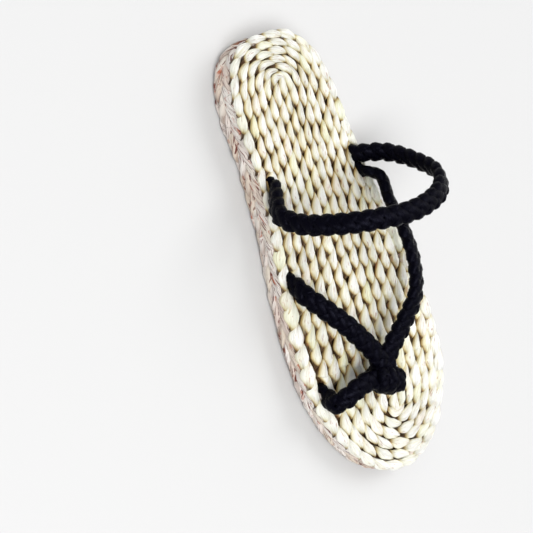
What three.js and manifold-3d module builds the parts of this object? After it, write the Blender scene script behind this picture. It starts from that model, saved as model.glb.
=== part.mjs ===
// A left zori sandal: a sole wound from one plait of husk leaf set on edge, with knotted cord straps.
// Millimetres, +Z up. The toe points to -Y and the big toe's side is -X. The origin is on the
// floor under the middle of the sole.
import * as THREE from "three";
import { mergeVertices } from "three/addons/utils/BufferGeometryUtils.js";
import Module from "manifold-3d";

const wasm = await Module();
wasm.setup();

// Outline of the sole, seen from above
const LENGTH = 255;
const HEEL = { y: 72, medial: 33.2, lateral: 36.2, squareness: 2.7 };
const BALL = { y: -54, medial: 51.4, lateral: 46.9, squareness: 2 };
const TOE_LEAN = -4.4;
const THICKNESS = { toe: 16.5, heel: 22.5 };

// The coil: a centre row with rings of plait around it, the last one being the edge plait
const CENTRE_ROW = { heel: { x: 1.9, y: 98.6 }, toe: { x: -1.4, y: -90 } };
const COIL_RINGS = 5;
const EDGE_RING = COIL_RINGS + 1;
const OUTLINE_ROW = EDGE_RING + 0.5;
const SEAM_ROW = COIL_RINGS + 0.5;
const STITCHES = 50;
const CREST_HALF = 0.26;
const CREST_DROP = 0.7;
const STITCH_RELIEF = 0.5;
const GROOVE_DEPTH = 2.2;
const TREAD_HALF = 0.32;
const TREAD_GROOVE = 1.4;
const SEAM_GAP = 0.5;
const CHEVRON_RELIEF = 0.6;

// Cord straps: flat knotted cord that narrows where it enters the sole
const CORD = { width: 10.6, thickness: 6.4, squareness: 2.6, sides: 8 };
const ENTRY = { width: 7.4, thickness: 4.6, depth: 10, swell: 14 };
const KNOT_PITCH = 7;
const STEPS_PER_KNOT = 3;
const KNOT_SWELL = 0.05;
const POCKET_GAP = 0.5;

// The knot that joins the two arms of the V and the toe arm
const KNOT = { x: -11.5, y: -70.5, z: 30, length: 21, radius: 7.2, wraps: 3, wrapSwell: 0.7, sides: 14 };
const KNOT_AXIS = new THREE.Vector3(0.86, -0.5, 0.1).normalize();

const HUSK = { color: 0xd9cba0, roughness: 0.75, metalness: 0 };
const HUSK_EDGE = { color: 0xcbbfae, roughness: 0.8, metalness: 0 };
const BLACK_CORD = { color: 0x0b0b10, roughness: 0.5, metalness: 0 };

const MEDIAL = "medial";
const LATERAL = "lateral";
const sideSign = { [MEDIAL]: -1, [LATERAL]: 1 };

// Strap routes. An anchor is a place on the sole: a row, a side and a distance along the foot, with
// the rake of the pocket towards the heel as it goes down.
// The free points between are the cord's centre, and "around" is the line that its flat face wraps.
const ROUTES = {
  instep: {
    from: { row: 5.2, side: MEDIAL, y: 50, rake: 3 },
    points: [
      { x: -32, y: 46.5, z: 25.5 },
      { x: -41, y: 36.5, z: 36 },
      { x: -38, y: 29.5, z: 46 },
      { x: -30, y: 24.5, z: 60 },
      { x: -15, y: 19.5, z: 73 },
      { x: 10, y: 15, z: 78 },
      { x: 32.5, y: 17, z: 74 },
      { x: 45, y: 24, z: 64 },
      { x: 48, y: 31, z: 51 },
      { x: 43.5, y: 42, z: 32 },
    ],
    to: { row: 5.5, side: LATERAL, y: 47.5, rake: 2 },
    around: { x: 4, z: 20 },
  },
  lateralArm: {
    from: { row: 5.5, side: LATERAL, y: 37, rake: 3 },
    points: [
      { x: 37.5, y: 31, z: 26.5 },
      { x: 35, y: 18, z: 30 },
      { x: 31.5, y: 0, z: 37 },
      { x: 28, y: -17, z: 40 },
      { x: 22, y: -34, z: 39 },
      { x: 9, y: -47, z: 35.5 },
      { x: -5, y: -58, z: 32.5 },
      { x: -11, y: -67.5, z: 30.5 },
    ],
    around: { x: 0, z: -5 },
  },
  medialArm: {
    from: { row: 5.5, side: MEDIAL, y: -2, rake: 4 },
    points: [
      { x: -38.5, y: -8, z: 25.5 },
      { x: -33, y: -20, z: 31.5 },
      { x: -27, y: -30.5, z: 34 },
      { x: -20.5, y: -42.5, z: 34.5 },
      { x: -14, y: -55, z: 33 },
      { x: -11, y: -67.5, z: 30.5 },
    ],
    around: { x: 0, z: -5 },
  },
  toeArm: {
    from: { row: 5.5, side: MEDIAL, y: -65, rake: 4 },
    points: [
      { x: -46, y: -69, z: 23.5 },
      { x: -42, y: -69, z: 28.5 },
      { x: -34.5, y: -66.5, z: 32 },
      { x: -24.5, y: -66, z: 32 },
      { x: -12, y: -70, z: 30.5 },
    ],
    around: { x: -28, z: 12 },
  },
};

const { lerp, smoothstep, clamp } = THREE.MathUtils;

// Half-width of the sole on one side at a place along the foot between heel and ball
function waist(side, y) {
  return lerp(HEEL[side], BALL[side], smoothstep(HEEL.y - y, 0, HEEL.y - BALL.y));
}

function toeShift(y) {
  const forward = clamp((BALL.y - y) / (BALL.y + LENGTH / 2), 0, 1);
  return TOE_LEAN * forward * forward;
}

// The outer edge at one side and one place along the foot
function edgeX(side, y) {
  if (y > HEEL.y) {
    const reach = (y - HEEL.y) / (LENGTH / 2 - HEEL.y);
    return sideSign[side] * HEEL[side] * (1 - reach ** HEEL.squareness) ** (1 / HEEL.squareness);
  }
  if (y < BALL.y) {
    const reach = (BALL.y - y) / (LENGTH / 2 + BALL.y);
    const half = BALL[side] * (1 - reach ** BALL.squareness) ** (1 / BALL.squareness);
    return sideSign[side] * half + toeShift(y);
  }
  return sideSign[side] * waist(side, y);
}

// The whole outline as a closed curve, anticlockwise from above, starting at the heel's lateral side
class SoleOutline extends THREE.Curve {
  getPoint(t, target = new THREE.Vector3()) {
    const quarter = (t % 1) * 4;
    const along = quarter % 1;
    const arc = along * Math.PI;
    const turned = (n) => Math.max(Math.sin(arc), 0) ** (2 / n);
    if (quarter < 1) {
      const y = HEEL.y + (LENGTH / 2 - HEEL.y) * turned(HEEL.squareness);
      return target.set(edgeX(along < 0.5 ? LATERAL : MEDIAL, Math.min(y, LENGTH / 2)), y, 0);
    }
    if (quarter < 2) {
      const y = lerp(HEEL.y, BALL.y, along);
      return target.set(edgeX(MEDIAL, y), y, 0);
    }
    if (quarter < 3) {
      const y = BALL.y - (LENGTH / 2 + BALL.y) * turned(BALL.squareness);
      return target.set(edgeX(along < 0.5 ? MEDIAL : LATERAL, Math.max(y, -LENGTH / 2)), y, 0);
    }
    const y = lerp(BALL.y, HEEL.y, along);
    return target.set(edgeX(LATERAL, y), y, 0);
  }
}

function centreRowPoint(y) {
  const { heel, toe } = CENTRE_ROW;
  const inside = clamp(y, toe.y, heel.y);
  return new THREE.Vector3(lerp(toe.x, heel.x, (inside - toe.y) / (heel.y - toe.y)), inside, 0);
}

function topAt(y) {
  return lerp(THICKNESS.toe, THICKNESS.heel, y / LENGTH + 0.5);
}

// A closed ring of points on the sole at one row, with its height worked out by a function
function ringAt(stations, row, heightOf, outwards = () => 0) {
  return stations.map((edge, index) => {
    const centre = centreRowPoint(edge.y);
    const point = centre.clone().lerp(edge, row / OUTLINE_ROW);
    const outward = edge.clone().sub(centre).normalize();
    point.addScaledVector(outward, outwards(index));
    point.z = heightOf(point, index);
    return point;
  });
}

// Closed skin over a run of rings. A ring may have half as many points as the one before it, and a
// mirrored join runs its diagonals the other way, so that raised points line up as a V.
class Skin {
  points = [];
  faces = [];

  addRing(ring) {
    const first = this.points.length;
    this.points.push(...ring);
    return ring.map((_, index) => first + index);
  }

  join(upper, lower, mirrored = false) {
    const count = lower.length;
    const ratio = upper.length / count;
    for (let k = 0; k < count; k += 1) {
      const next = (k + 1) % count;
      const start = upper[k * ratio];
      const end = upper[(k * ratio + ratio) % upper.length];
      if (ratio === 2) {
        const middle = upper[k * 2 + 1];
        this.faces.push(start, lower[k], middle, middle, lower[k], lower[next], middle, lower[next], end);
      } else if (mirrored) {
        this.faces.push(start, lower[k], end, end, lower[k], lower[next]);
      } else {
        this.faces.push(start, lower[k], lower[next], start, lower[next], end);
      }
    }
  }

  cap(ring, facingUp) {
    const flat = ring.map((index) => new THREE.Vector2(this.points[index].x, this.points[index].y));
    for (const [a, b, c] of THREE.ShapeUtils.triangulateShape(flat, [])) {
      this.faces.push(ring[a], ring[facingUp ? b : c], ring[facingUp ? c : b]);
    }
  }

  // Closes a small convex end ring with a fan from its first point
  fan(ring, reversed) {
    for (let k = 1; k + 1 < ring.length; k += 1) {
      this.faces.push(ring[0], ring[reversed ? k + 1 : k], ring[reversed ? k : k + 1]);
    }
  }

  geometry() {
    const geometry = new THREE.BufferGeometry().setFromPoints(this.points);
    return geometry.setIndex(this.faces);
  }
}

function toSolid(geometry) {
  const plain = geometry.clone();
  plain.deleteAttribute("normal");
  plain.deleteAttribute("uv");
  const merged = mergeVertices(plain, 1e-4);
  const mesh = new wasm.Mesh({
    numProp: 3,
    vertProperties: new Float32Array(merged.attributes.position.array),
    triVerts: new Uint32Array(merged.index.array),
  });
  return new wasm.Manifold(mesh);
}

function toMesh(name, solid, look) {
  const { vertProperties, triVerts } = solid.getMesh();
  const geometry = new THREE.BufferGeometry();
  geometry.setAttribute("position", new THREE.BufferAttribute(vertProperties, 3));
  geometry.setIndex(new THREE.BufferAttribute(triVerts, 1));
  geometry.computeVertexNormals();
  const mesh = new THREE.Mesh(geometry, new THREE.MeshStandardMaterial(look));
  mesh.name = name;
  return mesh;
}

const outline = new SoleOutline();
outline.arcLengthDivisions = 1200;
const topStations = outline.getSpacedPoints(STITCHES * 2).slice(0, -1);
const treadStations = topStations.filter((_, index) => index % 2 === 0);

// Every second station stands high, so that each pair of stations is one raised stitch
const raisedAt = (index, phase) => ((index + phase) % 2 === 0 ? STITCH_RELIEF : -STITCH_RELIEF);
const crest = (phase) => (point, index) => topAt(point.y) - CREST_DROP + raisedAt(index, phase);
const groove = (point) => topAt(point.y) - GROOVE_DEPTH;
const tread = () => 0;
const treadGroove = () => TREAD_GROOVE;

// The inner rows: raised rows above, flat treads below, a plain wall where the edge plait is sewn on
function soleCoil() {
  const skin = new Skin();
  const rings = [];
  const addRing = (stations, row, height) => {
    rings.push(skin.addRing(ringAt(stations, row, height)));
  };
  const wallInset = () => -SEAM_GAP / 2;
  addRing(topStations, CREST_HALF, crest(1));
  for (let ring = 1; ring <= COIL_RINGS; ring += 1) {
    addRing(topStations, ring - 0.5, groove);
    addRing(topStations, ring - CREST_HALF, crest(0));
    addRing(topStations, ring + CREST_HALF, crest(1));
  }
  rings.push(skin.addRing(ringAt(topStations, SEAM_ROW, groove, wallInset)));
  rings.push(skin.addRing(ringAt(treadStations, SEAM_ROW, treadGroove, wallInset)));
  for (let ring = COIL_RINGS; ring >= 1; ring -= 1) {
    addRing(treadStations, ring + TREAD_HALF, tread);
    addRing(treadStations, ring - TREAD_HALF, tread);
    addRing(treadStations, ring - 0.5, treadGroove);
  }
  addRing(treadStations, TREAD_HALF, tread);
  rings.slice(1).forEach((ring, index) => skin.join(rings[index], ring));
  skin.cap(rings[0], true);
  skin.cap(rings.at(-1), false);
  return toSolid(skin.geometry());
}

// The outermost turn: a raised row above, V-shaped plait leaves on its side, a flat tread below
function edgePlait() {
  const skin = new Skin();
  const shoulder = (share) => (point) => topAt(point.y) * share;
  const leaf = (phase) => (index) => ((index + phase) % 2 === 0 ? CHEVRON_RELIEF : -CHEVRON_RELIEF);
  const seam = () => SEAM_GAP / 2;
  const sections = [
    { row: SEAM_ROW, height: groove, outwards: seam },
    { row: EDGE_RING - CREST_HALF, height: crest(0) },
    { row: EDGE_RING + CREST_HALF * 0.8, height: crest(1) },
    { row: OUTLINE_ROW - 0.1, height: shoulder(0.8), outwards: leaf(0) },
    { row: OUTLINE_ROW, height: shoulder(0.5), outwards: leaf(1), mirrored: true },
    { row: OUTLINE_ROW - 0.1, height: shoulder(0.2), outwards: leaf(0) },
    { row: EDGE_RING + TREAD_HALF * 0.8, height: tread },
    { row: EDGE_RING - TREAD_HALF, height: tread },
    { row: SEAM_ROW, height: treadGroove, outwards: seam },
  ];
  const rings = sections.map(({ row, height, outwards }) =>
    skin.addRing(ringAt(topStations, row, height, outwards)),
  );
  rings.forEach((ring, index) => {
    skin.join(ring, rings[(index + 1) % rings.length], sections[index].mirrored);
  });
  return toSolid(skin.geometry());
}

function rowPoint(row, side, y, z) {
  return new THREE.Vector3(lerp(centreRowPoint(y).x, edgeX(side, y), row / OUTLINE_ROW), y, z);
}

// The cord's way into the sole, from the bottom of its pocket up to the foot bed
function anchorPoints({ row, side, y, rake }) {
  const top = topAt(y);
  const bottom = rowPoint(row, side, y + rake, top - ENTRY.depth);
  const middle = rowPoint(row, side, y + rake / 2, top - ENTRY.depth / 2);
  return [bottom, middle, rowPoint(row, side, y, top)];
}

function routeCurve({ from, points, to }) {
  const free = points.map(({ x, y, z }) => new THREE.Vector3(x, y, z));
  const end = to ? anchorPoints(to).reverse() : [];
  return new THREE.CatmullRomCurve3([...anchorPoints(from), ...free, ...end], false, "centripetal");
}

// The cord's section at a distance along its route: narrow in the sole, full width once it is out
function cordSection(distance, length, { to }, grow) {
  const fromEnd = to ? Math.min(distance, length - distance) : distance;
  const opened = smoothstep(fromEnd, ENTRY.depth, ENTRY.depth + ENTRY.swell);
  const knotted = 1 + KNOT_SWELL * opened * Math.cos((2 * Math.PI * distance) / KNOT_PITCH);
  const halfWidth = (lerp(ENTRY.width, CORD.width, opened) / 2) * knotted + grow;
  const halfThickness = lerp(ENTRY.thickness, CORD.thickness, opened) / 2 + grow;
  return Array.from({ length: CORD.sides }, (_, index) => {
    const angle = (2 * Math.PI * (index + 0.5)) / CORD.sides;
    const rounded = (value) => Math.sign(value) * Math.abs(value) ** (2 / CORD.squareness);
    const width = halfWidth * rounded(Math.cos(angle));
    return { width, thickness: halfThickness * rounded(Math.sin(angle)) };
  });
}

// A strap: the cord's section carried along its route with its flat face turned away from the foot
function strapSolid(route, grow = 0) {
  const curve = routeCurve(route);
  curve.arcLengthDivisions = 800;
  const length = curve.getLength();
  const steps = Math.round((length / KNOT_PITCH) * STEPS_PER_KNOT);
  const skin = new Skin();
  const rings = Array.from({ length: steps + 1 }, (_, step) => {
    const centre = curve.getPointAt(step / steps);
    const tangent = curve.getTangentAt(step / steps);
    const away = centre.clone().sub(new THREE.Vector3(route.around.x, centre.y, route.around.z));
    const across = tangent.clone().cross(away).normalize();
    const facing = across.clone().cross(tangent);
    if (step === 0) centre.addScaledVector(tangent, -grow);
    if (step === steps) centre.addScaledVector(tangent, grow);
    const section = cordSection((length * step) / steps, length, route, grow);
    const ring = section.map(({ width, thickness }) =>
      centre.clone().addScaledVector(across, width).addScaledVector(facing, thickness),
    );
    return skin.addRing(ring);
  });
  rings.slice(1).forEach((ring, index) => skin.join(rings[index], ring));
  skin.fan(rings[0], false);
  skin.fan(rings.at(-1), true);
  return toSolid(skin.geometry());
}

// The knot: a barrel of cord wraps lying across the end of the V
function knotSolid() {
  const half = KNOT.length / 2;
  const stepsPerWrap = 4;
  const count = KNOT.wraps * stepsPerWrap;
  const profile = [new THREE.Vector2(0, -half)];
  for (let step = 1; step < count; step += 1) {
    const along = -half + (KNOT.length * step) / count;
    const rounded = Math.sqrt(1 - (along / half) ** 4);
    const wrap = KNOT.wrapSwell * Math.abs(Math.sin((Math.PI * step) / stepsPerWrap));
    profile.push(new THREE.Vector2(KNOT.radius * rounded + wrap, along));
  }
  profile.push(new THREE.Vector2(0, half));
  const barrel = new THREE.LatheGeometry(profile, KNOT.sides);
  const turn = new THREE.Quaternion().setFromUnitVectors(new THREE.Vector3(0, 1, 0), KNOT_AXIS);
  barrel.applyQuaternion(turn);
  barrel.translate(KNOT.x, KNOT.y, KNOT.z);
  return toSolid(barrel);
}

const { instep, lateralArm, medialArm, toeArm } = ROUTES;
const thongStraps = [lateralArm, medialArm, toeArm]
  .map((route) => strapSolid(route))
  .reduce((joined, arm) => joined.add(arm), knotSolid());
const pockets = Object.values(ROUTES).map((route) => strapSolid(route, POCKET_GAP));
const cutPockets = (solid) => pockets.reduce((rest, pocket) => rest.subtract(pocket), solid);

const sandal = new THREE.Group();
sandal.add(toMesh("sole_coil", cutPockets(soleCoil()), HUSK));
sandal.add(toMesh("edge_plait", cutPockets(edgePlait()), HUSK_EDGE));
sandal.add(toMesh("thong_straps", thongStraps, BLACK_CORD));
sandal.add(toMesh("instep_strap", strapSolid(instep), BLACK_CORD));

export default sandal;
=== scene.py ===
"""Looks of a left zori sandal: a sole wound from plaited husk leaf, with straps of black braided cord.

Sizes are in millimetres and become metres where a mesh is made. The toe points to -Y, the big toe's
side is -X, +Z is up and the floor is at zero.
"""

import bpy
import numpy as np
from mathutils import Matrix, Vector


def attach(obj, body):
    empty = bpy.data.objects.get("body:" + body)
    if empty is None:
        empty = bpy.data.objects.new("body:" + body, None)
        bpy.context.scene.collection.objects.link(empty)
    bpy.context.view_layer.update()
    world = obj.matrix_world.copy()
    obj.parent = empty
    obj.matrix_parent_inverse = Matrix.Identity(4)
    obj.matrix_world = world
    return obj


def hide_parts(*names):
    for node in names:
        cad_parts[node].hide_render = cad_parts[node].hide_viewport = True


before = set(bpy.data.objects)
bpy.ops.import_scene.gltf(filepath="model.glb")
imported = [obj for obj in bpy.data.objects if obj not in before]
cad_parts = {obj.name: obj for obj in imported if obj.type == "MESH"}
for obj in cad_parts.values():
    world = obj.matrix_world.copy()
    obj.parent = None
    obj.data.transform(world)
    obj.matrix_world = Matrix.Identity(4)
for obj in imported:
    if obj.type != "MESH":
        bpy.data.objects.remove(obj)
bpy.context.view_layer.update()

METRES = 0.001

# Outline of the sole, as in the solids
LENGTH = 255
HEEL = {"y": 72, "medial": 33.2, "lateral": 36.2, "squareness": 2.7}
BALL = {"y": -54, "medial": 51.4, "lateral": 46.9, "squareness": 2}
TOE_LEAN = -4.4
THICKNESS = {"toe": 16.5, "heel": 22.5}
SIDE_SIGN = {"medial": -1, "lateral": 1}
STATIONS = 1440

# Rows of the coil, counted outwards from the straight row in its middle
CENTRE_ROW = {"heel": (1.9, 98.6), "toe": (-1.4, -90)}
COIL_RINGS = 5
SEAM_ROW = 5.5
EDGE_RING = 6
OUTLINE_ROW = 6.5

# The plait stands on edge, so a leaf is one strand's turn over the top of its row. It rises along the outer
# seam, lies across the whole row and dives along the inner seam. Reach and shoulder are in pitches, widths,
# heights and shifts in row widths, drops in millimetres and leans in radians. The rows lean, so the ends on
# the medial side sink further than those on the lateral side: each pair is for a lateral and a medial end
LEAF = {"pitch": 10.6, "shoulder": 0.08, "half_width": 0.48, "height": 0.46}
# The last pair is painted shade where a leaf's end dives into a seam, far heavier at the medial end
LEAF_END = {
    "reach": (0.9, 0.6), "shift": (0.42, 0.28), "half_width": (0.16, 0.05), "height": (0.26, 0.24),
    "drop": (2.6, 6.0), "lean": (0.5, 0.4), "painted_shade": (0.26, 2.3),
}
LEAF_STEPS = 17

# The powers by which a leaf changes from its shoulder to its ends, and the spread of its random differences
LEAF_POWER = {"half_width": 1.15, "drop": 3, "painted_shade": 2.5}
LEAF_UNEVEN = {
    "place": 0.7, "reach": 0.04, "row": 0.02, "half_width": 0.09, "height": 0.15, "drop": 0.1, "sunk": 0.4,
    "lean": 0.15, "painted_shade": 0.2,
}
SEEDS = {"coil_leaves": 20, "tread_leaves": 21, "edge_crest": 22, "edge_tread": 23, "edge_leaves": 25}

# A leaf's section: points over its crowned top, their sweep in degrees, and the points across and up of its
# flat underside. Folds run along its top: places and widths are in half-widths, and depths in heights
SECTION = {"top_points": 15, "sweep": 105, "under": ((0.62, -0.5), (0.0, -0.6), (-0.62, -0.5))}
FOLD = {"count": 2, "reach": 0.6, "depth": 0.42, "width": 0.17}

# How rows differ, as factors: how unlike a leaf's two ends are, how far they tuck under and sink, how plump
# the leaf is, and how much painted shade darkens its ends and its recesses and flanks. Depths on the tread
# count for less than on the foot bed
COIL = {"one_sided": 1.0, "tuck": 1.0, "sink": 1.0, "plump": 1.0, "shaded_ends": 1.0, "recess_and_flank_shade": 1.0}
CREST = {"one_sided": 0.2, "tuck": 0.6, "sink": 0.9, "plump": 1.08, "shaded_ends": 1.0, "recess_and_flank_shade": 0.35}
EDGE_TREAD = {"one_sided": 0.2, "tuck": 0.6, "sink": 0.7, "plump": 1.0, "shaded_ends": 0.35, "recess_and_flank_shade": 1.0}
TREAD_SHARE = 0.6

# The way in which the rows lean, seen from above. Painted shade: husk is painted brown at a depth of one
# recess and browner on the flanks that face that way, where shade falls, and this painted shade thins
# towards the toe, as painted light there
MEDIAL = (-0.9, 0.43)
SHADE_DEPTH = 6.0
FLANK_SHADE = {"painted_shade": 0.33, "least": -0.25}
TOE_PAINTED_LIGHT = {"from": -55, "over": 40, "share": 0.36}

# The edge plait's side wall: two rows of leaves below the crest, which slant opposite ways. A row's level
# and its leaves' sizes are shares of the sole's thickness, and a row's size is a factor on their width and
# slant. Drops are in millimetres. The wall's rounding is read no nearer to its rims than the limit
WALL_ROWS = ({"level": 0.56, "slant": 1, "size": 1.22}, {"level": 0.15, "slant": -1, "size": 0.9})
# The last entry is painted shade at the leaves' ends, where they dive behind their neighbours
WALL_LEAF = {
    "reach": 0.84, "half_width": (0.25, 0.09), "height": (0.23, 0.1), "shift": 0.19, "drop": 3.0,
    "painted_shade": 0.5,
}
WALL_POWER = {"half_width": 0.75, "drop": 3, "painted_shade": 4}
WALL_UNEVEN = {"reach": 0.05, "place": 0.6, "rise": 0.01, "half_width": 0.1, "height": 0.14, "sunk": 0.3}
WALL_ROUND = 3.2
WALL_LIMIT = 0.97

# The heart of the plait, seen in the gaps between leaves, coloured dark brown as painted shade
CORE = {"stations": 240, "rows": (0.3, 2.0, 4.0), "seam_gap": 0.1, "top": 5.4, "bottom": 2.2}
EDGE_CORE = {"sides": 16, "inset": 2.4}

# How far leaves part round a strap: the hole's half-sizes, the reach of the push in those sizes, and the
# least distance that it's worked out for
PARTING = {"half": (2.6, 5.0), "reach": 2.2, "least": 0.05}

# Straps of four-strand braid, narrower where they go into the sole
CORD = {"width": 11.4, "thickness": 6.6}
ENTRY = {"width": 10.4, "thickness": 5.4, "depth": 10, "swell": 10}
BRAID = {"pitch": 14.0, "strand": (3.3, 1.8), "weave": 0.4, "step": 0.8, "sides": 14}
CURVE_CUTS = 60

# The knot: cord wound round a filling, which is full almost to its ends. The winding narrows towards its
# own ends, by a share and a power
KNOT = {"centre": (-12.2, -70.5, 30), "axis": (0.86, -0.5, 0.1), "length": 22, "radius": 8.2}
KNOT_CORD = {"half_width": 4.1, "half_thickness": 2.9, "wraps": 3, "steps": 190}
KNOT_NARROWS = {"share": 0.3, "power": 3}
KNOT_FILLING = {"half": 3.6, "least": 0.2, "power": 8}

# Strap routes, repeated from the solids. An anchor is a row, a side, a distance along the foot and a rake.
# The strap's flat side faces away from a point that is given across the foot and up
INSTEP = {
    "from": (5.2, "medial", 50, 3),
    "points": [
        (-32, 46.5, 25.5), (-41, 36.5, 36), (-38, 29.5, 46), (-30, 24.5, 60), (-15, 19.5, 73),
        (10, 15, 78), (32.5, 17, 74), (45, 24, 64), (48, 31, 51), (43.5, 42, 32),
    ],
    "to": (5.5, "lateral", 47.5, 2),
    "around": (4, 20),
}
LATERAL_ARM = {
    "from": (5.5, "lateral", 37, 3),
    "points": [
        (37.5, 31, 26.5), (35, 18, 30), (31.5, 0, 37), (28, -17, 40), (22, -34, 39), (9, -47, 35.5),
        (-5, -58, 32.5), (-11, -67.5, 30.5),
    ],
    "around": (0, -5),
}
MEDIAL_ARM = {
    "from": (5.5, "medial", -2, 4),
    "points": [
        (-38.5, -8, 25.5), (-33, -20, 31.5), (-27, -30.5, 34), (-20.5, -42.5, 34.5), (-14, -55, 33),
        (-11, -67.5, 30.5),
    ],
    "around": (0, -5),
}
TOE_ARM = {
    "from": (5.5, "medial", -65, 4),
    "points": [(-46, -69, 23.5), (-42, -69, 28.5), (-34.5, -66.5, 32), (-24.5, -66, 32), (-12, -70, 30.5)],
    "around": (-28, 12),
}

# Studio, in metres and watts. The tent of light is brightest in one direction and dims away from it
FLOOR = {"half_side": 12.0, "colour": (198, 198, 198)}
TENT = {"toward": (0.62, 0.35, 0.7), "dim_at": -0.2, "dim": 0.45, "bright_at": 1.0, "bright": 0.9}
LAMPS = {
    "key": {"place": (1.7, 0.4, 2.2), "size": 1.8, "power": 30},
    "fill": {"place": (-0.95, -0.5, 2.0), "size": 1.2, "power": 38},
}

# Camera: the photograph's angle to the sandal, which stands on the floor, so the frame is rolled
CAMERA = {"eye": (-368.4, 105.8, 524.9), "aim": (-37.54, 9.68, 0), "roll": 81.984, "lens": 77.67}


def lerp(a, b, share):
    return a + (b - a) * share


def smoothstep(share):
    share = np.clip(share, 0, 1)
    return share * share * (3 - 2 * share)


def unit(vectors):
    return vectors / np.maximum(np.linalg.norm(vectors, axis=-1, keepdims=True), 1e-9)


def srgb(red, green, blue):
    """A colour given in 0-255 screen values, as Blender's linear numbers."""
    values = np.array([red, green, blue]) / 255
    linear = np.where(values <= 0.04045, values / 12.92, ((values + 0.055) / 1.055) ** 2.4)
    return (*linear.tolist(), 1.0)


# The sole's outline and rows

def toe_shift(y):
    """How far the toe bends aside, to the medial side."""
    forward = np.clip((BALL["y"] - y) / (BALL["y"] + LENGTH / 2), 0, 1)
    return TOE_LEAN * forward**2


def edge_x(side, y):
    """The outer edge at one side and one place along the foot."""
    share = smoothstep((HEEL["y"] - y) / (HEEL["y"] - BALL["y"]))
    heel_reach = np.clip((y - HEEL["y"]) / (LENGTH / 2 - HEEL["y"]), 0, 1)
    toe_reach = np.clip((BALL["y"] - y) / (BALL["y"] + LENGTH / 2), 0, 1)
    heel_round = (1 - heel_reach ** HEEL["squareness"]) ** (1 / HEEL["squareness"])
    toe_round = (1 - toe_reach ** BALL["squareness"]) ** (1 / BALL["squareness"])
    half = lerp(HEEL[side], BALL[side], share) * heel_round * toe_round
    return SIDE_SIGN[side] * half + toe_shift(y)


def centre_row(y):
    """The nearest place on the coil's middle row."""
    (heel_x, heel_y), (toe_x, toe_y) = CENTRE_ROW["heel"], CENTRE_ROW["toe"]
    inside = np.clip(y, toe_y, heel_y)
    return np.stack([lerp(toe_x, heel_x, (inside - toe_y) / (heel_y - toe_y)), inside], axis=-1)


def top_at(y):
    return lerp(THICKNESS["toe"], THICKNESS["heel"], y / LENGTH + 0.5)


def end_arc(end, tip_y, first_side, second_side):
    """One rounded end of the outline, from one side over the tip to the other side."""
    arc = np.linspace(0, np.pi, STATIONS)[1:-1]
    y = end["y"] + (tip_y - end["y"]) * np.sin(arc) ** (2 / end["squareness"])
    return np.stack([np.where(arc < np.pi / 2, edge_x(first_side, y), edge_x(second_side, y)), y], axis=-1)


def side_line(side, start_y, end_y):
    y = np.linspace(start_y, end_y, STATIONS)
    return np.stack([edge_x(side, y), y], axis=-1)


def evenly_spaced(points, count):
    """A closed line cut into equal lengths."""
    closed = np.concatenate([points, points[:1]])
    arc = np.concatenate([[0], np.cumsum(np.linalg.norm(np.diff(closed, axis=0), axis=1))])
    places = np.linspace(0, arc[-1], count, endpoint=False)
    return np.stack([np.interp(places, arc, closed[:, axis]) for axis in range(2)], axis=-1)


def sole_outline():
    """The outline, clockwise from above: up the medial side, round the heel, down the lateral side."""
    return evenly_spaced(
        np.concatenate([
            side_line("medial", BALL["y"], HEEL["y"]),
            end_arc(HEEL, LENGTH / 2, "medial", "lateral"),
            side_line("lateral", HEEL["y"], BALL["y"]),
            end_arc(BALL, -LENGTH / 2, "lateral", "medial"),
        ]),
        STATIONS,
    )


EDGE = sole_outline()
CENTRE = centre_row(EDGE[:, 1])


def between_stations(table, station):
    """Values between the stations of a closed line."""
    first = np.floor(station).astype(int)
    share = (station - first)[..., None]
    return lerp(table[first % STATIONS], table[(first + 1) % STATIONS], share)


class Ring:
    """One closed turn of the coil, walked by its own length."""

    def __init__(self, row):
        self.row = row
        line = CENTRE + (EDGE - CENTRE) * row / OUTLINE_ROW
        steps = np.linalg.norm(np.roll(line, -1, axis=0) - line, axis=1)
        self.arc = np.concatenate([[0], np.cumsum(steps)])
        self.length = self.arc[-1]

    def at(self, along, row):
        """Places at a length along the ring and a row, with the way out and the row's width there."""
        station = np.interp(along % self.length, self.arc, np.arange(STATIONS + 1))
        edge = between_stations(EDGE, station)
        centre = between_stations(CENTRE, station)
        return centre + (edge - centre) * (row / OUTLINE_ROW)[..., None], *way_out(centre, edge)


class CentreLine:
    """The straight row in the middle of the coil, walked from its toe end to its heel end.

    Its width is read no nearer to the tips than width_reach, because the outline closes in there.
    """

    row = 0
    overrun = 5.0
    width_reach = 110
    length = CENTRE_ROW["heel"][1] - CENTRE_ROW["toe"][1] + 2 * overrun

    def at(self, along, row):
        y = CENTRE_ROW["toe"][1] - self.overrun + along
        middle = centre_row(y)
        medial = np.stack([edge_x("medial", np.clip(y, -self.width_reach, self.width_reach)), y], axis=-1)
        centre = np.stack([middle[..., 0], y], axis=-1)
        outward, width = way_out(centre, medial)
        return centre + outward * (width * row)[..., None], outward, width


def way_out(centre, edge):
    """The way from the centre to the edge, and the width of a row there."""
    outward = unit(edge - centre)
    return outward, np.linalg.norm(edge - centre, axis=-1) / OUTLINE_ROW


# Leaf bodies

def leaf_section():
    """Points round a leaf: a crowned top, with its share across the leaf, and a flat underside."""
    sweep = np.radians(np.linspace(-SECTION["sweep"], SECTION["sweep"], SECTION["top_points"]))
    under_across, under_lift = zip(*SECTION["under"])
    across = np.concatenate([np.sin(sweep), under_across])
    lift = np.concatenate([np.cos(sweep), under_lift])
    return across, lift


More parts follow.
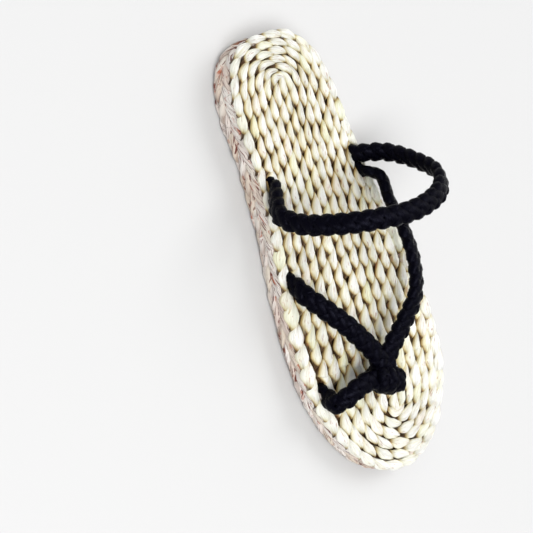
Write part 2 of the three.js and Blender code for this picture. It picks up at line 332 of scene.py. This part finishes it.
def tube_faces(count, rings, sides):
    """Faces of closed bodies, each a run of rings with one point at both ends."""
    ring, side = np.meshgrid(np.arange(rings - 1), np.arange(sides), indexing="ij")
    here = ring * sides + side
    beside = ring * sides + (side + 1) % sides
    quads = np.stack([here, beside, beside + sides, here + sides], axis=-1).reshape(-1, 4)
    around = np.arange(sides)
    first, last = rings * sides, rings * sides + 1
    end = (rings - 1) * sides
    start_cap = np.stack([np.full(sides, first), (around + 1) % sides, around], axis=-1)
    end_cap = np.stack([np.full(sides, last), end + around, end + (around + 1) % sides], axis=-1)
    step = np.arange(count)[:, None, None] * (rings * sides + 2)
    fans = np.concatenate([start_cap, end_cap])
    return (quads + step).reshape(-1, 4).tolist(), (fans + step).reshape(-1, 3).tolist()


def close_ends(grid):
    """Adds the middle of the first and last ring of each body after its rings."""
    count, rings, sides, width = grid.shape
    ends = grid[:, [0, -1]].mean(axis=2)
    return np.concatenate([grid.reshape(count, rings * sides, width), ends], axis=1)


class Bodies:
    """Many closed bodies that become one mesh, with a note and a level of painted shade at each point for
    the materials.
    """

    def __init__(self):
        self.points, self.notes, self.shade_level, self.quads, self.fans = [], [], [], [], []
        self.point_count = 0

    def add(self, grid, notes, shade_level):
        count, rings, sides, _ = grid.shape
        points = close_ends(grid).reshape(-1, 3)
        quads, fans = tube_faces(count, rings, sides)
        self.quads += [[index + self.point_count for index in face] for face in quads]
        self.fans += [[index + self.point_count for index in face] for face in fans]
        self.points.append(points)
        self.notes.append(close_ends(notes).reshape(-1, 3))
        self.shade_level.append(close_ends(shade_level[..., None]).ravel())
        self.point_count += len(points)

    def piece(self, name, material, node, slot):
        points = np.concatenate(self.points) * METRES
        mesh = bpy.data.meshes.new(name)
        mesh.from_pydata(points.tolist(), [], self.quads + self.fans)
        note = mesh.attributes.new("note", "FLOAT_VECTOR", "POINT")
        note.data.foreach_set("vector", np.concatenate(self.notes).ravel())
        shade_level = mesh.attributes.new("shade_level", "FLOAT", "POINT")
        shade_level.data.foreach_set("value", np.concatenate(self.shade_level))
        finish_piece(name, mesh, material, node)


def finish_piece(name, mesh, material, node):
    mesh.polygons.foreach_set("use_smooth", [True] * len(mesh.polygons))
    mesh.materials.append(material)
    piece = bpy.data.objects.new(name, mesh)
    bpy.context.collection.objects.link(piece)
    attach(piece, "root")
    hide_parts(node)


def leaf_grid(centre, up, half_width, height, rng):
    """Leaf bodies along their centre lines, each folded lengthways. Arrays run over leaves, then steps."""
    along = unit(np.gradient(centre, axis=1))
    across = unit(np.cross(along, up))
    normal = np.cross(across, along)
    section_across, section_lift = leaf_section()
    folded = np.tile(section_lift, (len(centre), 1))
    for _ in range(FOLD["count"]):
        fold = rng.uniform(-FOLD["reach"], FOLD["reach"], (len(centre), 1))
        valley = np.exp(-(((section_across - fold) / FOLD["width"]) ** 2)) * (section_lift > 0)
        folded -= FOLD["depth"] * rng.uniform(0, 1, (len(centre), 1)) * valley
    side = across[:, :, None, :] * (half_width[..., None] * section_across)[..., None]
    lift = normal[:, :, None, :] * (height[..., None] * folded[:, None, :])[..., None]
    return centre[:, :, None, :] + side + lift


class LeafRow:
    """The leaves of one row: how many and how far apart, with random differences between them."""

    share = np.linspace(-1, 1, LEAF_STEPS)[None, :]

    def __init__(self, track, rng):
        self.rng = rng
        self.leaves = round(track.length / LEAF["pitch"])
        self.pitch = track.length / self.leaves

    def vary(self, amount):
        return self.rng.normal(0, amount, (self.leaves, 1)).clip(-2 * amount, 2 * amount)

    def middles(self, amount):
        return (np.arange(self.leaves) + self.rng.uniform())[:, None] * self.pitch + self.vary(amount)

    def notes(self):
        """For each point: the share along its leaf, the share across it and the leaf's own tint."""
        across, _ = leaf_section()
        notes = np.zeros((self.leaves, LEAF_STEPS, len(across), 3))
        notes[..., 0] = np.linspace(0, 1, LEAF_STEPS)[None, :, None]
        notes[..., 1] = across[None, None, :]
        notes[..., 2] = self.rng.uniform(0, 1, self.leaves)[:, None, None]
        return notes


def ending_share(apart, reach):
    """How near a place on a leaf is to its end: zero up to its shoulder, and one at the end."""
    return ((np.abs(apart) - LEAF["shoulder"]) / (reach - LEAF["shoulder"])).clip(0)


def row_leaves(bodies, track, rng, style, underside):
    """One row of leaves, each rising at the row's outer seam and going down at its inner seam."""
    leaves = LeafRow(track, rng)
    vary, side = leaves.vary, np.sign(leaves.share)
    middle = leaves.middles(LEAF_UNEVEN["place"])
    _, outward, _ = track.at(middle, np.full_like(middle, track.row))
    medial = 0.5 - 0.5 * style["one_sided"] * side * (outward @ np.array(MEDIAL))
    end = {name: lerp(*sizes, medial) for name, sizes in LEAF_END.items()}
    apart = end["reach"] * (1 + vary(LEAF_UNEVEN["reach"])) * leaves.share
    ending = ending_share(apart, end["reach"])
    row = track.row - side * style["tuck"] * end["shift"] * ending + vary(LEAF_UNEVEN["row"])
    place, outward, width = track.at(middle + leaves.pitch * apart, row)
    narrowed = lerp(LEAF["half_width"], end["half_width"], ending ** LEAF_POWER["half_width"])
    half_width = style["plump"] * width * narrowed * (1 + vary(LEAF_UNEVEN["half_width"]))
    lowered = lerp(LEAF["height"], end["height"], ending)
    height = style["plump"] * width * lowered * (1 + vary(LEAF_UNEVEN["height"]))
    drop = style["sink"] * end["drop"] * ending ** LEAF_POWER["drop"] * (1 + vary(LEAF_UNEVEN["drop"]))
    sunk = np.abs(vary(LEAF_UNEVEN["sunk"])) + drop * (TREAD_SHARE if underside else 1) + height
    lean = -end["lean"] * side * ending + vary(LEAF_UNEVEN["lean"])
    upward = -np.cos(lean) if underside else np.cos(lean)
    up = np.concatenate([outward * np.sin(lean)[..., None], upward[..., None]], axis=-1)
    z = sunk if underside else top_at(place[..., 1]) - sunk
    centre = np.concatenate([place, z[..., None]], axis=-1)
    grid = parted(leaf_grid(centre, up, half_width, height, rng))
    grid[..., 2] = np.maximum(grid[..., 2], 0)
    # Painted shade: leaf ends darken where they dive into the seams, and recesses and flanks by depth and
    # facing
    shaded_ends = style["shaded_ends"] * end["painted_shade"] * ending ** LEAF_POWER["painted_shade"]
    painted_shade = shaded_ends * (1 + vary(LEAF_UNEVEN["painted_shade"]))
    depth_and_flank_shade = style["recess_and_flank_shade"] * leaf_painted_shade(grid, centre, half_width, underside)
    bodies.add(grid, leaves.notes(), toe_painted_light(grid) * (depth_and_flank_shade + painted_shade[..., None]))


def leaf_painted_shade(grid, centre, half_width, underside):
    """Painted shade on the leaves' points: darker by their depth, and by how far they face the way the rows
    lean.
    """
    below = TREAD_SHARE * grid[..., 2] if underside else top_at(grid[..., 1]) - grid[..., 2]
    aside = (grid - centre[:, :, None, :])[..., :2] @ np.array(MEDIAL) / half_width[..., None]
    return below / SHADE_DEPTH + FLANK_SHADE["painted_shade"] * np.maximum(aside, FLANK_SHADE["least"])


# Painted light: the painted shade is cut by a share towards the toe, for the brighter light there
def toe_painted_light(grid):
    return 1 - TOE_PAINTED_LIGHT["share"] * smoothstep((TOE_PAINTED_LIGHT["from"] - grid[..., 1]) / TOE_PAINTED_LIGHT["over"])


def parted(grid):
    """Leaves pushed aside where a strap goes down between them."""
    for route in (INSTEP, LATERAL_ARM, MEDIAL_ARM, TOE_ARM):
        for anchor in (route[key] for key in ("from", "to") if key in route):
            bottom, _, top = np.array(anchor_points(anchor))
            share = ((grid[..., 2] - bottom[2]) / (top[2] - bottom[2]))[..., None]
            offset = grid[..., :2] - lerp(bottom[:2], top[:2], share)
            reach = np.linalg.norm(offset / PARTING["half"], axis=-1)
            pushed = 1 + reach * (1 - 1 / PARTING["reach"])
            scale = np.where(reach < PARTING["reach"], pushed / np.maximum(reach, PARTING["least"]), 1)
            grid[..., :2] += offset * (scale - 1)[..., None]
    return grid


def coil_leaves(name, material, underside):
    rng = np.random.default_rng(SEEDS[name])
    bodies = Bodies()
    for track in [CentreLine()] + [Ring(row) for row in range(1, COIL_RINGS + 1)]:
        row_leaves(bodies, track, rng, COIL, underside)
    bodies.piece(name, material, "sole_coil", "husk_leaf")


# The edge plait

def edge_row(name, material, style, underside):
    """The edge plait's row on the foot bed or on the tread."""
    bodies = Bodies()
    row_leaves(bodies, Ring(EDGE_RING), np.random.default_rng(SEEDS[name]), style, underside)
    bodies.piece(name, material, "edge_plait", "husk_edge")


def wall_round(up):
    """How far the rounded wall stands out at a height, and how its surface tilts there."""
    out = (1 - np.abs(up) ** WALL_ROUND) ** (1 / WALL_ROUND)
    tilt = np.arctan2(np.sign(up) * np.abs(up) ** (WALL_ROUND - 1), out ** (WALL_ROUND - 1))
    return out, tilt


def wall_row(bodies, rng, level, slant, size):
    """One row of leaves along the side wall. Both ends of a leaf dive behind its neighbours."""
    ring = Ring(EDGE_RING)
    leaves = LeafRow(ring, rng)
    vary = leaves.vary
    apart = WALL_LEAF["reach"] * (1 + vary(WALL_UNEVEN["reach"])) * leaves.share
    ending = ending_share(apart, WALL_LEAF["reach"])
    along = leaves.middles(WALL_UNEVEN["place"]) + leaves.pitch * apart
    place, outward, width = ring.at(along, np.full_like(along, EDGE_RING))
    top = top_at(place[..., 1])
    shift = slant * size * np.sign(leaves.share) * WALL_LEAF["shift"] * ending
    rise = level - shift + vary(WALL_UNEVEN["rise"])
    narrowed = lerp(*WALL_LEAF["half_width"], ending ** WALL_POWER["half_width"])
    half_width = top * size * narrowed * (1 + vary(WALL_UNEVEN["half_width"]))
    height = top * lerp(*WALL_LEAF["height"], ending) * (1 + vary(WALL_UNEVEN["height"]))
    sunk = np.abs(vary(WALL_UNEVEN["sunk"])) + WALL_LEAF["drop"] * ending ** WALL_POWER["drop"] + height
    out, tilt = wall_round((2 * rise - 1).clip(-WALL_LIMIT, WALL_LIMIT))
    normal = np.concatenate([outward * np.cos(tilt)[..., None], np.sin(tilt)[..., None]], axis=-1)
    wall = place + outward * (width / 2 * out)[..., None]
    surface = np.concatenate([wall, (top * rise)[..., None]], axis=-1)
    grid = leaf_grid(surface - normal * sunk[..., None], normal, half_width, height, rng)
    grid[..., 2] = np.maximum(grid[..., 2], 0)
    # Painted shade: darker by depth below the wall's surface and at the leaf ends
    below = ((surface[:, :, None, :] - grid) * normal[:, :, None, :]).sum(axis=-1)
    painted_shade = WALL_LEAF["painted_shade"] * ending[..., None] ** WALL_POWER["painted_shade"]
    bodies.add(grid, leaves.notes(), below / SHADE_DEPTH + painted_shade)


def edge_leaves(name, material):
    rng = np.random.default_rng(SEEDS[name])
    bodies = Bodies()
    for row in WALL_ROWS:
        wall_row(bodies, rng, **row)
    bodies.piece(name, material, "edge_plait", "husk_edge")


# The heart of the plait

def closed_skin(name, rings, material, node, loop=False):
    """A skin over rings of equal count: capped at its first and last ring, or closed on itself."""
    count = len(rings[0])
    points = np.concatenate(rings) * METRES
    faces = []
    for index in range(len(rings) if loop else len(rings) - 1):
        upper, lower = index * count, ((index + 1) % len(rings)) * count
        for k in range(count):
            following = (k + 1) % count
            faces.append([upper + k, upper + following, lower + following, lower + k])
    if not loop:
        faces.append(list(range(count))[::-1])
        faces.append(list(range((len(rings) - 1) * count, len(rings) * count)))
    mesh = bpy.data.meshes.new(name)
    mesh.from_pydata(points.tolist(), [], faces)
    mesh.validate()
    finish_piece(name, mesh, material, node)


def flat_ring(ring, row, height):
    along = np.linspace(0, ring.length, CORE["stations"], endpoint=False)
    place, _, _ = ring.at(along, np.full(CORE["stations"], row))
    return np.concatenate([place, height(place[:, 1])[:, None]], axis=-1)


def coil_core(material):
    ring = Ring(SEAM_ROW)
    rows = (*CORE["rows"], SEAM_ROW - CORE["seam_gap"])

    def upper(y):
        return top_at(y) - CORE["top"]

    def lower(y):
        return np.full_like(y, CORE["bottom"])

    rings = [flat_ring(ring, row, upper) for row in rows]
    rings += [flat_ring(ring, row, lower) for row in rows[::-1]]
    closed_skin("coil_core", rings, material, "sole_coil")


def squarer(part):
    """A circle's sine or cosine, spread so that the circle is as square as the wall's rounding."""
    return np.sign(part) * np.abs(part) ** (2 / WALL_ROUND)


def edge_core(material):
    ring = Ring(EDGE_RING)
    along = np.linspace(0, ring.length, CORE["stations"], endpoint=False)
    place, outward, width = ring.at(along, np.full(CORE["stations"], EDGE_RING))
    half_height = top_at(place[:, 1]) / 2
    rings = []
    for angle in np.linspace(2 * np.pi, 0, EDGE_CORE["sides"], endpoint=False):
        spot = place + outward * ((width / 2 - EDGE_CORE["inset"]) * squarer(np.cos(angle)))[:, None]
        z = half_height + (half_height - EDGE_CORE["inset"]) * squarer(np.sin(angle))
        rings.append(np.concatenate([spot, z[:, None]], axis=-1))
    closed_skin("edge_core", rings, material, "edge_plait", loop=True)


# Straps

def anchor_points(anchor):
    """The cord's way into the sole, from the bottom of its pocket up to the foot bed."""
    row, side, y, rake = anchor
    points = []
    for share in (1, 0.5, 0):
        place_y = y + rake * share
        x = lerp(centre_row(place_y)[0], edge_x(side, place_y), row / OUTLINE_ROW)
        points.append((x, place_y, top_at(y) - ENTRY["depth"] * share))
    return points


def smooth_line(points, step):
    """A centripetal Catmull-Rom curve through the points, cut into equal steps."""
    points = np.array(points, float)
    points = np.concatenate([[2 * points[0] - points[1]], points, [2 * points[-1] - points[-2]]])
    spans = np.linalg.norm(np.diff(points, axis=0), axis=1) ** 0.5
    line = []
    for k in range(1, len(points) - 2):
        before, here, after, later = points[k - 1 : k + 3]
        d0, d1, d2 = spans[k - 1 : k + 2]
        leave = ((here - before) / d0 - (after - before) / (d0 + d1) + (after - here) / d1) * d1
        reach = ((after - here) / d1 - (later - here) / (d1 + d2) + (later - after) / d2) * d1
        t = np.linspace(0, 1, CURVE_CUTS, endpoint=False)[:, None]
        bend = 2 * here - 2 * after + leave + reach
        turn = -3 * here + 3 * after - 2 * leave - reach
        line.append(here + leave * t + turn * t**2 + bend * t**3)
    line = np.concatenate(line + [points[-2:-1]])
    arc = np.concatenate([[0], np.cumsum(np.linalg.norm(np.diff(line, axis=0), axis=1))])
    places = np.linspace(0, arc[-1], round(arc[-1] / step) + 1)
    return np.stack([np.interp(places, arc, line[:, axis]) for axis in range(3)], axis=-1), places


def braid(bodies, line, away, distance, half_width, half_thickness):
    """Four strands along a line: two wind each way and pass over and under each other."""
    tangent = unit(np.gradient(line, axis=0))
    across = unit(np.cross(tangent, away))
    facing = np.cross(across, tangent)
    turn = 2 * np.pi * distance / BRAID["pitch"]
    opened = half_thickness / half_thickness.max()
    half_strand, lift = (size * opened for size in BRAID["strand"])
    for way, offset in ((1, 0), (1, np.pi), (-1, 0), (-1, np.pi)):
        angle = way * turn + offset
        weave = way * BRAID["weave"] * np.cos(2 * turn) * opened
        wide = (half_width - lift - BRAID["weave"] / 2 + weave) * np.cos(angle)
        thick = (half_thickness - lift - BRAID["weave"] / 2 + weave) * np.sin(angle)
        centre = line + across * wide[:, None] + facing * thick[:, None]
        outward = across * np.cos(angle)[:, None] + facing * np.sin(angle)[:, None]
        add_strand(bodies, centre, outward, (half_strand, lift), distance, way + offset)


def add_strand(bodies, centre, outward, section, distance, tint):
    """One strand: an oval tube along its own centre line."""
    half_strand, lift = section
    sides = BRAID["sides"]
    tangent = unit(np.gradient(centre, axis=0))
    side = unit(np.cross(tangent, outward))
    normal = np.cross(side, tangent)
    around = np.linspace(0, 2 * np.pi, sides, endpoint=False)
    ring_side = side[:, None, :] * np.outer(half_strand, np.cos(around))[..., None]
    ring_out = normal[:, None, :] * np.outer(lift, np.sin(around))[..., None]
    grid = centre[:, None, :] + ring_side + ring_out
    notes = np.zeros((len(centre), sides, 3))
    notes[..., 0] = distance[:, None]
    notes[..., 1] = np.cos(around)[None, :]
    notes[..., 2] = np.sin(around)[None, :] + tint
    bodies.add(grid[None, :, ::-1], notes[None, :, ::-1], np.zeros((1, len(centre), sides)))


def strap(bodies, route):
    """One strap along its route. A strap without a far anchor ends in the knot."""
    ends = anchor_points(route["to"])[::-1] if "to" in route else []
    line, distance = smooth_line(anchor_points(route["from"]) + route["points"] + ends, BRAID["step"])
    from_end = np.minimum(distance, distance[-1] - distance) if ends else distance
    opened = smoothstep((from_end - ENTRY["depth"]) / ENTRY["swell"])
    half_width = lerp(ENTRY["width"], CORD["width"], opened) / 2
    half_thickness = lerp(ENTRY["thickness"], CORD["thickness"], opened) / 2
    around_x, around_z = route["around"]
    inside = np.stack([np.full(len(line), around_x), line[:, 1], np.full(len(line), around_z)], axis=-1)
    braid(bodies, line, line - inside, distance, half_width, half_thickness)


def knot(bodies):
    """The knot: the cord wound round the end of the V, over a filling of its own strands."""
    axis = unit(np.array(KNOT["axis"]))
    first = unit(np.cross(axis, [0, 0, 1.0]))
    second = np.cross(axis, first)
    steps = KNOT_CORD["steps"]
    share = np.linspace(0, 1, steps)
    from_middle = 2 * share - 1
    angle = 2 * np.pi * KNOT_CORD["wraps"] * share
    spread = (KNOT["length"] - CORD["thickness"]) * (share - 0.5)
    narrowing = 1 - KNOT_NARROWS["share"] * np.abs(from_middle) ** KNOT_NARROWS["power"]
    reach = (KNOT["radius"] - KNOT_CORD["half_thickness"]) * narrowing
    radial = first * np.cos(angle)[:, None] + second * np.sin(angle)[:, None]
    line = np.array(KNOT["centre"]) + axis * spread[:, None] + radial * reach[:, None]
    distance = np.concatenate([[0], np.cumsum(np.linalg.norm(np.diff(line, axis=0), axis=1))])
    half_sizes = (np.full(steps, KNOT_CORD[size]) for size in ("half_width", "half_thickness"))
    braid(bodies, line, radial, distance, *half_sizes)
    filling = np.array(KNOT["centre"]) + axis * (KNOT["length"] * (share - 0.5))[:, None]
    thick = KNOT_FILLING["half"] * (1 - from_middle ** KNOT_FILLING["power"]) + KNOT_FILLING["least"]
    braid(bodies, filling, np.tile(first, (steps, 1)), KNOT["length"] * share, thick, thick)


def thong_straps(material):
    bodies = Bodies()
    for route in (LATERAL_ARM, MEDIAL_ARM, TOE_ARM):
        strap(bodies, route)
    knot(bodies)
    bodies.piece("thong_braid", material, "thong_straps", "black_cord")


def instep_strap(material):
    bodies = Bodies()
    strap(bodies, INSTEP)
    bodies.piece("instep_braid", material, "instep_strap", "black_cord")


# Materials

BLACK = (0.0, 0.0, 0.0, 1.0)
WHITE = (1.0, 1.0, 1.0, 1.0)

# Noise is stretched along a leaf or strand, across it and from one to the next, and in the core per metre.
# Patches of noise add their share to how brown a leaf is
GRAIN = {
    "leaf_patches": (2.5, 1.6, 61.0), "leaf_fibres": (1.6, 12.0, 61.0), "wall_fibres": (3.0, 14.0, 61.0),
    "cord_fibres": (0.5, 7.0, 7.0), "core": (400.0, 400.0, 400.0),
}
PATCH_SHARE = 0.22

# Blots of colour: where noise starts to show and is full, and how strong it is there
LEAF_BLOTS = (
    {"stretch": (1.4, 1.0, 29.0), "start": 0.52, "full": 0.72, "share": 0.4, "paint": srgb(236, 234, 196)},
    {"stretch": (1.4, 9.0, 83.0), "start": 0.52, "full": 0.66, "share": 0.42, "paint": srgb(196, 176, 130)},
    {"stretch": (4.0, 3.5, 47.0), "start": 0.61, "full": 0.7, "share": 0.55, "paint": srgb(166, 100, 64)},
)
WALL_BLOTS = (
    {"stretch": (3.0, 2.5, 37.0), "start": 0.58, "full": 0.7, "share": 1.0, "paint": srgb(176, 100, 70)},
    {"stretch": (2.4, 11.0, 83.0), "start": 0.57, "full": 0.63, "share": 1.0, "paint": srgb(98, 36, 28)},
)

# The share, first and second colour among the sockets of Blender's Mix node, and its mixed colour
MIX_INPUTS = (0, 6, 7)
MIX_OUTPUT = 2


class Shade:
    """A material's nodes, with short ways to add and join them."""

    def __init__(self, name, roughness):
        self.material = bpy.data.materials.new(name)
        self.material.use_nodes = True
        self.nodes = self.material.node_tree.nodes
        self.links = self.material.node_tree.links
        self.shader = self.nodes["Principled BSDF"]
        self.set("Roughness", roughness)

    def plug(self, socket, value):
        """Joins another node's output to a socket, or gives the socket a constant."""
        if isinstance(value, bpy.types.NodeSocket):
            self.links.new(value, socket)
        else:
            socket.default_value = value

    def set(self, name, value):
        self.plug(self.shader.inputs[name], value)

    def node(self, kind, inputs=None, **settings):
        node = self.nodes.new(kind)
        for key, value in settings.items():
            setattr(node, key, value)
        for key, value in (inputs or {}).items():
            self.plug(node.inputs[key], value)
        return node

    def note(self):
        return self.node("ShaderNodeAttribute", attribute_name="note").outputs["Vector"]

    def tint(self, note):
        return self.node("ShaderNodeSeparateXYZ", {"Vector": note}).outputs["Z"]

    # The level of painted shade at each point
    def shade_level(self):
        return self.node("ShaderNodeAttribute", attribute_name="shade_level").outputs["Fac"]

    def noise(self, vector, stretch, detail=3.0):
        scaled = self.node("ShaderNodeVectorMath", {0: vector, 1: stretch}, operation="MULTIPLY")
        inputs = {"Vector": scaled.outputs[0], "Scale": 1.0, "Detail": detail}
        return self.node("ShaderNodeTexNoise", inputs).outputs["Fac"]

    def ramp(self, share, *stops):
        ramp = self.node("ShaderNodeValToRGB", {"Fac": share})
        band = ramp.color_ramp
        while len(band.elements) < len(stops):
            band.elements.new(0.5)
        for element, (place, colour) in zip(band.elements, stops):
            element.position = place
            element.color = colour
        return ramp.outputs["Color"]

    def mix(self, share, first, second, blend="MIX"):
        inputs = dict(zip(MIX_INPUTS, (share, first, second)))
        node = self.node("ShaderNodeMix", inputs, data_type="RGBA", blend_type=blend)
        return node.outputs[MIX_OUTPUT]

    def blot(self, under, note, stretch, start, full, share, paint):
        """A colour painted over another one, where stretched noise is high."""
        cover = self.ramp(self.noise(note, stretch), (start, BLACK), (full, (share, share, share, 1.0)))
        return self.mix(cover, under, paint)

    def bump(self, height, depth):
        inputs = {"Height": height, "Distance": depth * METRES, "Strength": 1.0}
        self.set("Normal", self.node("ShaderNodeBump", inputs).outputs["Normal"])


def husk_leaf():
    """Dried husk, with painted shade: pale on the crests, tan on the flanks and brown down in the recesses.
    """
    shade = Shade("husk_leaf", roughness=0.5)
    note = shade.note()
    inputs = {0: shade.noise(note, GRAIN["leaf_patches"]), 1: PATCH_SHARE, 2: shade.shade_level()}
    level = shade.node("ShaderNodeMath", inputs, operation="MULTIPLY_ADD").outputs["Value"]
    # The ramp turns painted shade, with random patches, into colour: near white without shade, dark brown
    # at full
    husk = shade.ramp(
        level,
        (0.12, srgb(253, 253, 252)),
        (0.36, srgb(250, 250, 244)),
        (0.58, srgb(234, 227, 196)),
        (0.8, srgb(188, 160, 98)),
        (1.0, srgb(78, 48, 20)),
    )
    hue = shade.ramp(
        shade.tint(note),
        (0.0, srgb(255, 255, 254)),
        (0.45, srgb(248, 248, 243)),
        (0.7, srgb(255, 255, 253)),
        (0.86, srgb(250, 252, 230)),
        (1.0, srgb(255, 250, 245)),
    )
    colour = shade.mix(1.0, husk, hue, "MULTIPLY")
    for blot in LEAF_BLOTS:
        colour = shade.blot(colour, note, **blot)
    shade.set("Base Color", colour)
    shade.bump(shade.noise(note, GRAIN["leaf_fibres"], detail=4.0), depth=1.0)
    return shade.material


def husk_edge():
    """The same husk on the side wall: greyer, with reddish patches, dark red streaks and painted shade,
    brown in the recesses.
    """
    shade = Shade("husk_edge", roughness=0.68)
    note = shade.note()
    colour = shade.ramp(
        shade.tint(note),
        (0.0, srgb(226, 215, 207)),
        (0.4, srgb(240, 235, 228)),
        (0.7, srgb(220, 208, 190)),
        (1.0, srgb(228, 212, 202)),
    )
    for blot in WALL_BLOTS:
        colour = shade.blot(colour, note, **blot)
    # Painted shade: the colour turns brown where the level of painted shade is high
    painted_depth_shade = shade.ramp(shade.shade_level(), (0.4, BLACK), (1.0, srgb(200, 200, 200)))
    shade.set("Base Color", shade.mix(painted_depth_shade, colour, srgb(112, 72, 50)))
    shade.bump(shade.noise(note, GRAIN["wall_fibres"], detail=4.0), depth=0.6)
    return shade.material


def husk_shadow():
    """The husk inside the plait, fibrous and painted dark brown as the shade in the gaps between leaves."""
    shade = Shade("husk_shadow", roughness=0.9)
    place = shade.node("ShaderNodeTexCoord").outputs["Object"]
    grain = shade.noise(place, GRAIN["core"])
    shade.set("Base Color", shade.ramp(grain, (0.3, srgb(54, 35, 18)), (0.7, srgb(92, 64, 35))))
    shade.bump(grain, depth=0.4)
    return shade.material


def black_cord():
    """Black satin cord with fine fibres along its strands."""
    shade = Shade("black_cord", roughness=0.27)
    fibres = shade.noise(shade.note(), GRAIN["cord_fibres"])
    shade.set("Base Color", shade.ramp(fibres, (0.3, srgb(1, 1, 4)), (0.75, srgb(6, 5, 13))))
    shade.set("Specular IOR Level", 0.05)
    shade.set("Specular Tint", srgb(210, 212, 255))
    shade.bump(fibres, depth=0.25)
    return shade.material


# The studio

def floor():
    side = FLOOR["half_side"]
    mesh = bpy.data.meshes.new("floor")
    corners = [(-side, -side, 0), (side, -side, 0), (side, side, 0), (-side, side, 0)]
    mesh.from_pydata(corners, [], [(0, 1, 2, 3)])
    shade = Shade("pale_floor", roughness=0.9)
    shade.set("Base Color", srgb(*FLOOR["colour"]))
    mesh.materials.append(shade.material)
    plane = bpy.data.objects.new("floor", mesh)
    bpy.context.collection.objects.link(plane)


def area_light(name, place, size, power):
    """A round lamp that faces the sandal."""
    light = bpy.data.lights.new(name, "AREA")
    light.shape = "DISK"
    light.size = size
    light.energy = power
    lamp = bpy.data.objects.new(name, light)
    lamp.location = place
    lamp.rotation_euler = (-Vector(place)).to_track_quat("-Z", "Y").to_euler()
    bpy.context.collection.objects.link(lamp)


def studio_light():
    """A soft tent of light, brightest above the sandal's lateral heel side, with a key and a fill lamp."""
    world = bpy.data.worlds.new("studio")
    world.use_nodes = True
    nodes, links = world.node_tree.nodes, world.node_tree.links
    way = nodes.new("ShaderNodeTexCoord").outputs["Generated"]
    facing = nodes.new("ShaderNodeVectorMath")
    facing.operation = "DOT_PRODUCT"
    facing.inputs[1].default_value = TENT["toward"]
    spread = nodes.new("ShaderNodeMapRange")
    spread.interpolation_type = "SMOOTHSTEP"
    spread.inputs["From Min"].default_value = TENT["dim_at"]
    spread.inputs["From Max"].default_value = TENT["bright_at"]
    spread.inputs["To Min"].default_value = TENT["dim"]
    spread.inputs["To Max"].default_value = TENT["bright"]
    links.new(way, facing.inputs[0])
    links.new(facing.outputs["Value"], spread.inputs["Value"])
    links.new(spread.outputs["Result"], nodes["Background"].inputs["Strength"])
    nodes["Background"].inputs["Color"].default_value = WHITE
    bpy.context.scene.world = world
    for name, lamp in LAMPS.items():
        area_light(name, **lamp)
    bpy.context.scene.view_settings.view_transform = "Standard"


def photo_camera():
    """A camera at the photograph's angle, rolled about its line of sight."""
    eye, aim = (Vector(CAMERA[key]) * METRES for key in ("eye", "aim"))
    back = (eye - aim).normalized()
    level = Vector((0, 0, 1)).cross(back).normalized()
    upright = Matrix((level, back.cross(level), back)).transposed()
    roll = Matrix.Rotation(np.radians(CAMERA["roll"]), 3, "Z")
    camera = bpy.data.cameras.new("photo_camera")
    camera.lens = CAMERA["lens"]
    holder = bpy.data.objects.new("photo_camera", camera)
    holder.matrix_world = Matrix.Translation(eye) @ (upright @ roll).to_4x4()
    bpy.context.collection.objects.link(holder)
    bpy.context.scene.camera = holder


leaf = husk_leaf()
edge = husk_edge()
shadow = husk_shadow()
cord = black_cord()
coil_core(shadow)
edge_core(shadow)
coil_leaves("coil_leaves", leaf, underside=False)
coil_leaves("tread_leaves", leaf, underside=True)
edge_row("edge_crest", leaf, CREST, underside=False)
edge_row("edge_tread", edge, EDGE_TREAD, underside=True)
edge_leaves("edge_leaves", edge)
thong_straps(cord)
instep_strap(cord)
floor()
studio_light()
photo_camera()
